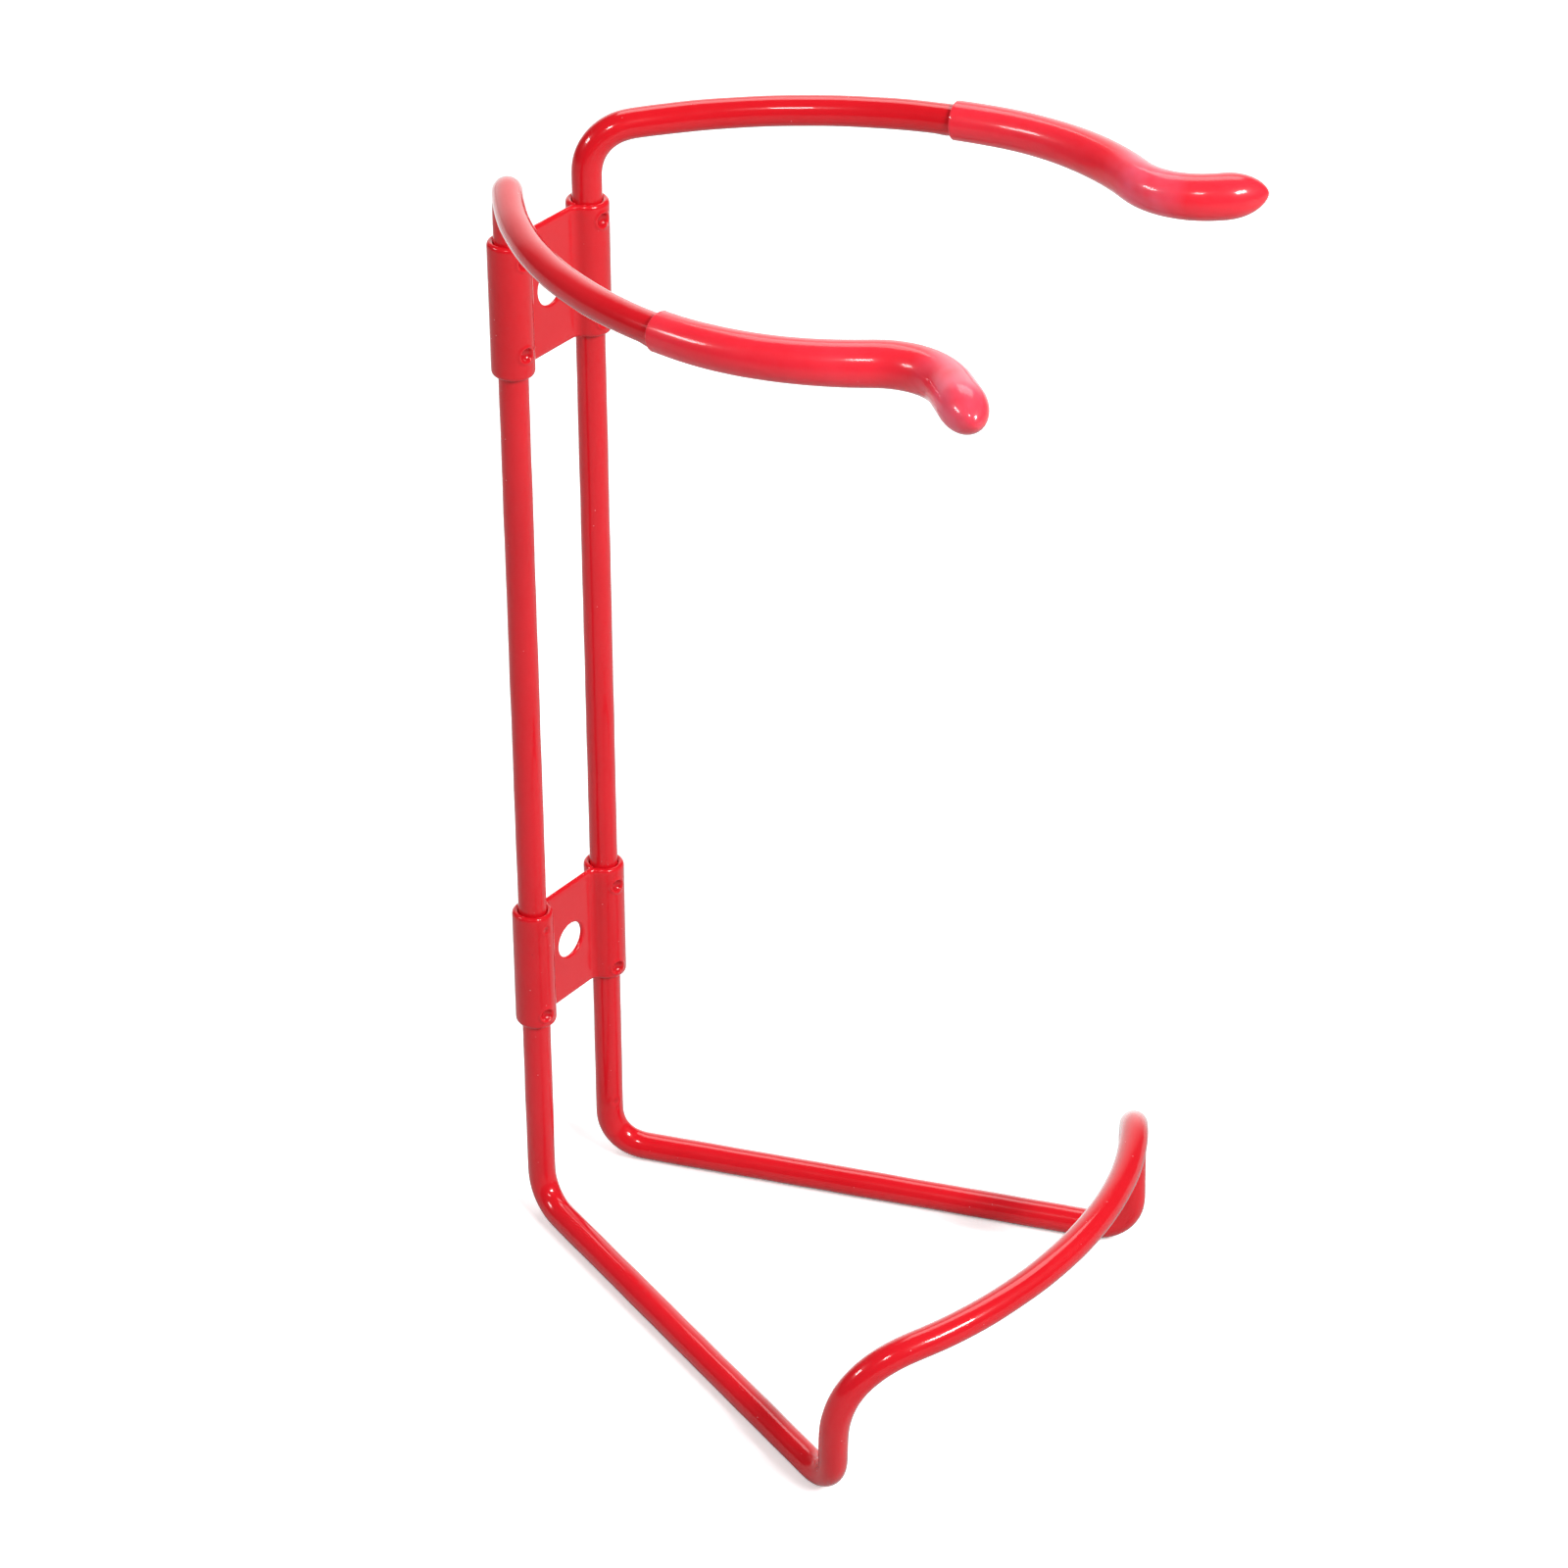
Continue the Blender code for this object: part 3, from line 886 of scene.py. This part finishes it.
def clean_colour(nodes, place, in_mm, look, grain):
    """Mottled red, darker in hollows, where shade is painted and the coat has pooled."""
    mottle = nodes.ramp(nodes.noise(in_mm, look["mottle"], 3.0), 0.3, 0.7)
    colour = nodes.blend(mottle, opaque(look["deep"]), opaque(look["bright"]))
    colour = nodes.blend(grain, colour, opaque(look["pale"]))
    pointiness = nodes.add("ShaderNodeNewGeometry").outputs["Pointiness"]
    # Painted shade: the least pointed places, in hollows, turn towards the darker colour.
    hollow_shade = nodes.ramp(pointiness, *HOLLOW_SHADE, 0.0, look["hollow_shade"])
    colour = nodes.blend(hollow_shade, colour, opaque(look["pooled_and_shade"]))
    # The painted highlight: pale pink on the sleeve's last bend.
    if look["painted_highlight"]:
        share = nodes.math("MULTIPLY", painted_highlight_share(nodes, place, in_mm), look["painted_highlight"])
        colour = nodes.blend(share, colour, opaque(PAINTED_HIGHLIGHT_COLOUR))
    return colour


def speckled(nodes, colour, look, dust, pits):
    dust = nodes.math("MULTIPLY", dust, SPECK_TINT)
    pits = nodes.math("MULTIPLY", pits, SPECK_TINT)
    colour = nodes.blend(dust, colour, opaque(DUST_COLOUR))
    return nodes.blend(pits, colour, opaque(look["pooled_and_shade"]))


def coat_normal(nodes, in_mm, look, dust, pits):
    """Slight orange peel, with the dust standing up and the pits sunk in."""
    peel = nodes.noise(in_mm, look["peel_size"], 1.5)
    fine = nodes.math("MULTIPLY", nodes.noise(in_mm, FINE_SIZE, 2.0), look["fine"])
    height = nodes.math("ADD", peel, fine)
    height = nodes.math("ADD", height, nodes.math("MULTIPLY", dust, DUST_HEIGHT))
    height = nodes.math("SUBTRACT", height, nodes.math("MULTIPLY", pits, PIT_DEPTH))
    values = {"Height": height, "Strength": 1.0, "Distance": look["peel"] * MM}
    return nodes.add("ShaderNodeBump", values).outputs["Normal"]


def coat_material(name, look):
    """Thick glossy dip coat or soft vinyl, with dust and burst bubbles in it."""
    material = bpy.data.materials.new(name)
    material.use_nodes = True
    nodes = Nodes(material.node_tree)
    place = nodes.add("ShaderNodeTexCoord").outputs["Object"]
    scaled = nodes.add("ShaderNodeVectorMath", {0: place, "Scale": 1 / MM}, operation="SCALE")
    in_mm = scaled.outputs[0]

    grain = nodes.noise(in_mm, GRAIN_SIZE, 4.0, 0.7)
    grain = nodes.ramp(grain, 0.25, 0.8, 0.0, look["grain"])
    dust = nodes.specks(in_mm, look["dust"], *DUST)
    pits = nodes.specks(in_mm, look["pits"], *PITS)
    smear = nodes.noise(in_mm, SMEAR_SIZE, 3.0)

    colour = clean_colour(nodes, place, in_mm, look, grain)
    roughness = nodes.ramp(smear, 0.3, 0.7, *look["roughness"])
    rougher = nodes.math("MULTIPLY", grain, GRAIN_ROUGHNESS)
    normal = coat_normal(nodes, in_mm, look, dust, pits)
    nodes.fill(
        {
            "Base Color": speckled(nodes, colour, look, dust, pits),
            "Roughness": nodes.math("ADD", roughness, rougher),
            "Coat Roughness": nodes.ramp(smear, 0.35, 0.75, *look["coat_roughness"]),
            "Normal": normal,
            "Coat Normal": normal,
            "IOR": look["ior"],
            "Coat Weight": look["coat"],
            "Coat IOR": look["coat_ior"],
        }
    )
    if look["subsurface"]:
        nodes.fill(
            {
                "Subsurface Weight": look["subsurface"],
                "Subsurface Radius": SCATTER,
                "Subsurface Scale": SCATTER_SCALE * MM,
            }
        )
    return material


# Stage.

# In metres and degrees, round the middle of the bracket. Azimuth 0 is in front of it, and -90
# is to its left.
TARGET = Vector(DATUM) + Vector((0.0030, -0.0591, 0.1331))
CAMERA_AZIMUTH = -54.98
CAMERA_ELEVATION = 33.705
CAMERA_ROLL = 0.12
CAMERA_DISTANCE = 0.9987
LENS = 103.83

# Softboxes: where each is, its width and height, its radiance, and whether the coat mirrors it.
LIGHT_DISTANCE = 1.8
SOFTBOXES = {
    "front_light": (-10, 40, (0.60, 0.32), 42.0, True),
    "left_light": (-132, 30, (0.5, 0.25), 19.0, True),
    "near_light": (-70, 48, (0.25, 0.2), 30.0, True),
    "right_fill": (30, 30, (1.0, 1.0), 3.2, False),
    "back_light": (118, 55, (1.2, 0.8), 3.0, True),
    "back_fill": (172, 25, (0.8, 0.8), 3.0, False),
}

# The world is plain white to the camera and dim as a light. The coat mirrors a bright backdrop
# on the far side, which fades out between these cosines, and next to nothing elsewhere.
WORLD_SEEN = 1.0
WORLD_LIT = 0.12
WORLD_MIRRORED = 0.08
BACKDROP = 1.35
BACKDROP_AZIMUTH = 130
BACKDROP_EDGE = (-0.70, -0.95)

# The floor is pale to the camera, and darker as a light and in the coat. Seen straight, it
# fades into the white round it between these distances.
FLOOR_HALF_SIZE = 6.0
FLOOR_SEEN = (0.91, 0.94)
FLOOR_LIT = 0.52
FLOOR_MIRRORED = 0.38
FLOOR_GLOW = BACKDROP - 0.4
FLOOR_LIFT = (0.35, 1.0)
FLOOR_FADE = (0.3, 1.6)


def grey(value):
    return opaque((value, value, value))


def direction(azimuth, elevation):
    """The way from the object to a viewer or light."""
    a, e = math.radians(azimuth), math.radians(elevation)
    return Vector((math.sin(a) * math.cos(e), -math.cos(a) * math.cos(e), math.sin(e)))


def floor_material():
    material = bpy.data.materials.new("floor_paper")
    material.use_nodes = True
    nodes = Nodes(material.node_tree)
    place = nodes.add("ShaderNodeTexCoord").outputs["Object"]
    ray = nodes.add("ShaderNodeLightPath").outputs
    colour = nodes.blend(nodes.noise(place, 0.3, 3.0), *map(grey, FLOOR_SEEN))
    colour = nodes.blend(ray["Is Diffuse Ray"], colour, grey(FLOOR_LIT))
    colour = nodes.blend(ray["Is Glossy Ray"], colour, grey(FLOOR_MIRRORED))
    glow = nodes.math("MULTIPLY", nodes.towards_backdrop(), FLOOR_GLOW)
    glow = nodes.math("MULTIPLY", glow, ray["Is Glossy Ray"])
    length = nodes.add("ShaderNodeVectorMath", {0: place}, operation="LENGTH").outputs["Value"]
    lift = nodes.ramp(length, *FLOOR_FADE, *FLOOR_LIFT)
    lift = nodes.math("MULTIPLY", ray["Is Camera Ray"], lift)
    nodes.fill(
        {
            "Base Color": colour,
            "Roughness": 0.9,
            "Specular IOR Level": 0.1,
            "Emission Color": grey(1.0),
            "Emission Strength": nodes.math("ADD", glow, lift),
        }
    )
    return material


def add_floor():
    mesh = bmesh.new()
    bmesh.ops.create_grid(mesh, x_segments=8, y_segments=8, size=FLOOR_HALF_SIZE)
    floor = object_from("floor", mesh)
    floor.location.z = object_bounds()[0].z
    floor.data.materials.append(floor_material())


def add_softbox(name, azimuth, elevation, size, radiance, mirrored_in_coat):
    data = bpy.data.lights.new(name, "AREA")
    data.shape = "RECTANGLE"
    data.size, data.size_y = size
    data.energy = radiance * math.pi * size[0] * size[1]
    light = bpy.data.objects.new(name, data)
    away = direction(azimuth, elevation)
    light.location = TARGET + away * LIGHT_DISTANCE
    light.rotation_mode = "QUATERNION"
    light.rotation_quaternion = away.to_track_quat("Z", "Y")
    light.visible_camera = False
    light.visible_glossy = mirrored_in_coat
    bpy.context.scene.collection.objects.link(light)


def add_world():
    world = bpy.data.worlds.new("studio")
    world.use_nodes = True
    nodes = Nodes(world.node_tree)
    ray = nodes.add("ShaderNodeLightPath").outputs
    mirrored_sky = nodes.ramp(nodes.towards_backdrop(), 0.0, 1.0, WORLD_MIRRORED, BACKDROP)
    strength = nodes.ramp(ray["Is Glossy Ray"], 0.0, 1.0, WORLD_LIT, mirrored_sky)
    strength = nodes.ramp(ray["Is Camera Ray"], 0.0, 1.0, strength, WORLD_SEEN)
    nodes.fill({"Color": grey(1.0), "Strength": strength}, "Background")
    bpy.context.scene.world = world


def add_camera():
    data = bpy.data.cameras.new("camera")
    data.lens = LENS
    data.sensor_width = 36.0
    data.clip_start, data.clip_end = 0.05, 50.0
    camera = bpy.data.objects.new("camera", data)
    bpy.context.scene.collection.objects.link(camera)
    back = direction(CAMERA_AZIMUTH, CAMERA_ELEVATION)
    right = Vector((0, 0, 1)).cross(back).normalized()
    up = back.cross(right)
    roll = math.radians(CAMERA_ROLL)
    rolled = right * math.cos(roll) + up * math.sin(roll)
    turn = Matrix((rolled, back.cross(rolled), back)).transposed()
    camera.matrix_world = Matrix.Translation(TARGET + back * CAMERA_DISTANCE) @ turn.to_4x4()
    bpy.context.scene.camera = camera


# The bracket.

wire_coat = coat_material("wire_dip_coat", DIP_COAT)
strap_coat = coat_material("strap_dip_coat", DIP_COAT)
vinyl = coat_material("sleeve_vinyl", VINYL)

add_frame_wire(wire_coat)
add_strap("upper_strap", UPPER_STRAP_Z, UPPER_STRAP_TILT, UPPER_STAKES, strap_coat)
add_strap("lower_strap", LOWER_STRAP_Z, LOWER_STRAP_TILT, LOWER_STAKES, strap_coat)
for body, side in (("left_horn", -1), ("right_horn", 1)):
    add_horn_wire(body, side, wire_coat)
    add_sleeve(body, side, vinyl)

# The studio.

add_floor()
for light_name, softbox in SOFTBOXES.items():
    add_softbox(light_name, *softbox)
add_world()
add_camera()
bpy.context.scene.view_settings.view_transform = "Standard"
